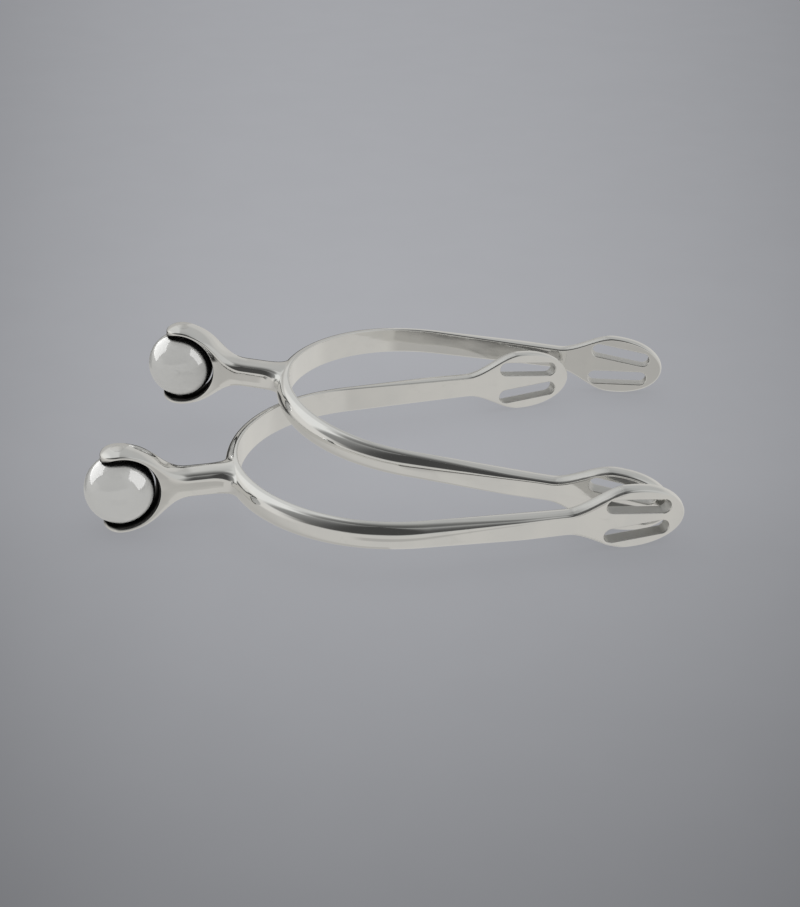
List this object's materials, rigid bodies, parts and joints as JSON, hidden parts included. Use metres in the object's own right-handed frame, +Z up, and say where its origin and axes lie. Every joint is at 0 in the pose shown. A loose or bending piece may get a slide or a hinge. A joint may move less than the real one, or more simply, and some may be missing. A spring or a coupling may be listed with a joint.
{
  "type": "roller ball spurs",
  "caption": "English roller-ball spurs, left and right: heel band with slotted strap loops, neck with C-shaped fork, and a polished ball turning on an axle pin.",
  "frame": {"origin": "middle of the left spur's heel seat, on the inside of its heel band", "axes": "+X from heel to toe of the left spur along the floor, +Y to its outer side, +Z up from the flat surface the pair lies on"},
  "size_m": [0.1471, 0.0941, 0.0272],
  "materials": {
    "polished_steel": "mirror polished stainless steel",
    "ball_steel": "mirror polished",
    "pin_steel": "polished flush, slightly duller than the fork"
  },
  "bodies": {
    "left_spur": {"left_heel_band": "polished_steel", "left_neck_fork": "polished_steel", "left_axle_pin": "pin_steel"},
    "left_ball": {"left_roller_ball": "ball_steel"},
    "right_spur": {"right_heel_band": "polished_steel", "right_neck_fork": "polished_steel", "right_axle_pin": "pin_steel"},
    "right_ball": {"right_roller_ball": "ball_steel"}
  },
  "joints": [
    {"name": "left_ball_spin", "type": "hinge", "parent": "left_spur", "child": "left_ball", "pos_m": [-0.02609, 0, 0.00067], "axis": [0.0182, 0, 0.9998], "continuous": true},
    {"name": "right_spur_lift", "type": "slide", "parent": "left_spur", "child": "right_spur", "axis": [0, 0, 1], "range_m": [0, 0.06]},
    {"name": "right_ball_spin", "type": "hinge", "parent": "right_spur", "child": "right_ball", "pos_m": [-0.00583, 0.0428, 0.00885], "axis": [0.0909, -0.036, 0.9952], "continuous": true}
  ]
}
